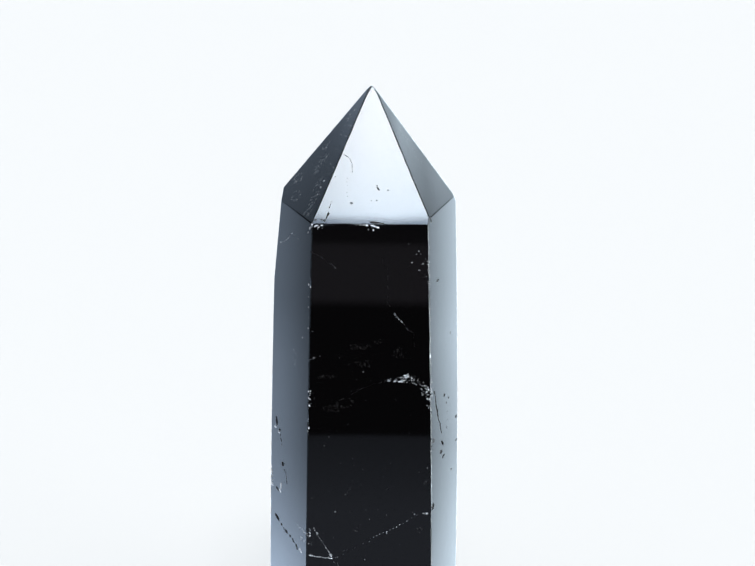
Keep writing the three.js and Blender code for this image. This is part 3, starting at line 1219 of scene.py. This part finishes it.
@dataclass
class Stone:
    """The point itself: the frame's solid with worn edges and a rounded tip."""

    axis: Vector = Vector((0.85, -0.11, 0.0)) * MM
    tip_cut: float = 0.95 * MM
    tip_rise: float = 1.24 * MM
    tip_blunt: float = 0.34 * MM
    tip_rings: tuple[float, ...] = (0.82, 0.64, 0.48, 0.34, 0.22, 0.12, 0.04)
    edge_wear: float = 0.14 * MM
    wear_segments: int = 3
    merge_gap: float = 0.04 * MM
    same_point: float = 0.0005 * MM
    same_level: float = 0.001 * MM
    flat_limit: float = math.radians(0.08)
    sharp_limit: float = math.radians(7.0)
    region_limit: float = math.radians(2.0)
    crown: float = math.radians(1.6)
    facet_crown: float = math.radians(0.6)
    facet_rise: float = 0.3
    same_flat: float = 2e-5
    same_plane: float = 0.002 * MM
    bare_area: float = 4.0 * MM * MM

    def build(self) -> SettingOut:
        """Makes the stone's object, dressed and riding on the root body.

        Returns:
            What finds the places of the flaws inside it.
        """
        shape = self.blank()
        faces = self.ground_faces(shape)
        self.cut_tip(shape)
        edges = self.hidden_edges(shape)
        self.wear_edges(shape)
        self.round_tip(shape)
        setting = SettingOut(shape, self.axis, edges)
        stone = placed("stone", bpy.data.meshes.new("ground_stone"))
        shape.to_mesh(stone.data)
        shape.free()
        mesh = self.cut_hollows(stone, Hollows(setting).cutter())
        self.polish(mesh, faces)
        mesh.materials.append(MorionFinish().material())
        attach(stone, "root")
        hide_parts(STONE_NODE)
        LOG.info("stone: %d faces", len(mesh.polygons))
        return setting

    def blank(self) -> bmesh.types.BMesh:
        """Copies the frame's solid.

        Returns:
            The merged copy, with each flat in one face.
        """
        shape = bmesh.new()
        shape.from_mesh(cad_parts[STONE_NODE].data)
        bmesh.ops.remove_doubles(shape, verts=shape.verts, dist=self.same_point)
        bmesh.ops.dissolve_limit(
            shape, angle_limit=self.flat_limit, verts=shape.verts, edges=shape.edges
        )
        shape.normal_update()
        return shape

    def ground_faces(self, shape: bmesh.types.BMesh) -> list[GroundFace]:
        """Gathers the flats of the blank into the faces that the wheel ground.

        Args:
            shape: The blank.

        Returns:
            Its faces, leaving out the tiny ones.
        """
        left = set(shape.faces)
        found = []
        for first in shape.faces:
            if first not in left:
                continue
            left.remove(first)
            spread = [first]
            for flat in spread:
                for edge in flat.edges:
                    if not edge.is_manifold or edge.calc_face_angle() > self.region_limit:
                        continue
                    near = [face for face in edge.link_faces if face in left]
                    left.difference_update(near)
                    spread.extend(near)
            if sum(flat.calc_area() for flat in spread) > self.bare_area:
                found.append(GroundFace.from_flats(spread))
        LOG.info("ground faces: %d", len(found))
        return found

    def cut_tip(self, shape: bmesh.types.BMesh) -> None:
        """Cuts the very tip off level and cleans up what the cut leaves.

        Args:
            shape: The blank.
        """
        level = max(vert.co.z for vert in shape.verts) - self.tip_cut
        everything = list(shape.verts) + list(shape.edges) + list(shape.faces)
        bmesh.ops.bisect_plane(
            shape, geom=everything, plane_co=(0, 0, level), plane_no=UP, clear_outer=True
        )
        rim = [edge for edge in shape.edges if edge.is_boundary]
        bmesh.ops.contextual_create(shape, geom=rim)
        bmesh.ops.remove_doubles(shape, verts=shape.verts, dist=self.merge_gap)
        bmesh.ops.recalc_face_normals(shape, faces=shape.faces)
        shape.normal_update()

    def sharp_edges(self, shape: bmesh.types.BMesh) -> list[bmesh.types.BMEdge]:
        """Finds the edges where two ground faces meet.

        Args:
            shape: The blank with its tip cut off.

        Returns:
            The edges, leaving out the level cut at the tip.
        """
        level = max(vert.co.z for vert in shape.verts) - self.same_level
        return [
            edge
            for edge in shape.edges
            if min(vert.co.z for vert in edge.verts) <= level
            and edge.is_manifold
            and edge.calc_face_angle() > self.sharp_limit
        ]

    def hidden_edges(self, shape: bmesh.types.BMesh) -> list[Edge]:
        """Finds the sharp edges on the sides away from the photo.

        Args:
            shape: The blank with its tip cut off, not yet worn.

        Returns:
            The edges, as they lie once they are worn.
        """
        found = []
        for edge in self.sharp_edges(shape):
            start, end = (vert.co.copy() for vert in edge.verts)
            outward = (edge.link_faces[0].normal + edge.link_faces[1].normal).normalized()
            along = (end - start).normalized()
            outward = (outward - along * outward.dot(along)).normalized()
            lost = outward * self.edge_wear * math.tan(edge.calc_face_angle() / 2) / 2
            if outward.y > 0:
                found.append(Edge(start - lost, end - lost, outward))
        return found

    def wear_edges(self, shape: bmesh.types.BMesh) -> None:
        """Rounds every sharp edge a little, as polishing and handling do.

        Args:
            shape: The blank with its tip cut off.
        """
        bmesh.ops.bevel(
            shape,
            geom=self.sharp_edges(shape),
            offset=self.edge_wear,
            affect="EDGES",
            segments=self.wear_segments,
            profile=0.5,
            material=-1,
            clamp_overlap=False,
        )

    def round_tip(self, shape: bmesh.types.BMesh) -> None:
        """Carries the facets on above the cut and rounds them off into the blunt tip.

        Args:
            shape: The stone with its tip cut off.
        """
        cap = max(shape.faces, key=lambda face: face.calc_center_median().z)
        centre = cap.calc_center_median()
        base = math.hypot(self.tip_rise, self.tip_blunt)
        reach = 1.0
        for ring in self.tip_rings:
            grown = bmesh.ops.extrude_discrete_faces(shape, faces=[cap])
            cap = grown["faces"][0]
            for vert in cap.verts:
                vert.co.x = centre.x + (vert.co.x - centre.x) * ring / reach
                vert.co.y = centre.y + (vert.co.y - centre.y) * ring / reach
                vert.co.z = centre.z + base - math.hypot(self.tip_rise * ring, self.tip_blunt)
            reach = ring

    @staticmethod
    def cut_hollows(stone: bpy.types.Object, cutter: bpy.types.Mesh) -> bpy.types.Mesh:
        """Cuts the pits, chips and scratches out of the stone, and divides its faces into triangles.

        Args:
            stone: The ground stone.
            cutter: The shapes to cut away.

        Returns:
            The stone's new mesh, whose hollows keep the paleness of the shapes that cut them.
        """
        tool = placed("hollows", cutter)
        cut = stone.modifiers.new("hollows", "BOOLEAN")
        cut.operation = "DIFFERENCE"
        cut.solver = "EXACT"
        cut.use_self = True
        cut.object = tool
        graph = bpy.context.evaluated_depsgraph_get()
        mesh = bpy.data.meshes.new_from_object(stone.evaluated_get(graph))
        shape = bmesh.new()
        shape.from_mesh(mesh)
        bmesh.ops.triangulate(shape, faces=shape.faces)
        shape.to_mesh(mesh)
        shape.free()
        stone.modifiers.clear()
        stone.data = mesh
        bpy.data.objects.remove(tool)
        return mesh

    def crown_of(self, face: GroundFace) -> float:
        """How far a face turns away at its side edges, in radians: less on the tip's facets."""
        return self.facet_crown if face.normal.z > self.facet_rise else self.crown

    def polish(self, mesh: bpy.types.Mesh, faces: Sequence[GroundFace]) -> None:
        """Gives the ground faces their slight crown, and the worn edges a smooth turn between them.

        Args:
            mesh: The finished mesh.
            faces: The ground faces of the blank.
        """
        mesh.polygons.foreach_set("use_smooth", [True] * len(mesh.polygons))
        held: dict[int, Vector] = {}
        owners: dict[int, GroundFace] = {}
        for polygon in mesh.polygons:
            point = mesh.vertices[polygon.vertices[0]].co
            for face in faces:
                if face.holds(polygon.normal, point, self.same_flat, self.same_plane):
                    owners[polygon.index] = face
                    for index in polygon.vertices:
                        held[index] = face.outward(mesh.vertices[index].co, self.crown_of(face))
                    break
        LOG.info("polished flats: %d of %d", len(owners), len(mesh.polygons))
        broken = mesh.attributes[PALE_AND_GLINT].data
        normals = [Vector()] * len(mesh.loops)
        for polygon in mesh.polygons:
            owner = owners.get(polygon.index)
            for corner in polygon.loop_indices:
                index = mesh.loops[corner].vertex_index
                if broken[polygon.index].value > 0:
                    normals[corner] = polygon.normal.copy()
                elif owner is not None:
                    normals[corner] = owner.outward(mesh.vertices[index].co, self.crown_of(owner))
                else:
                    normals[corner] = held.get(index, mesh.vertices[index].normal)
        mesh.normals_split_custom_set(normals)


def main() -> None:
    """Builds the studio, the stone and the flaws sealed in it, and reports each piece."""
    logging.basicConfig(level=logging.INFO)
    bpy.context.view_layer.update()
    Studio().build()
    setting = Stone().build()
    Flaws(setting).build()


if __name__ == "__main__":
    main()
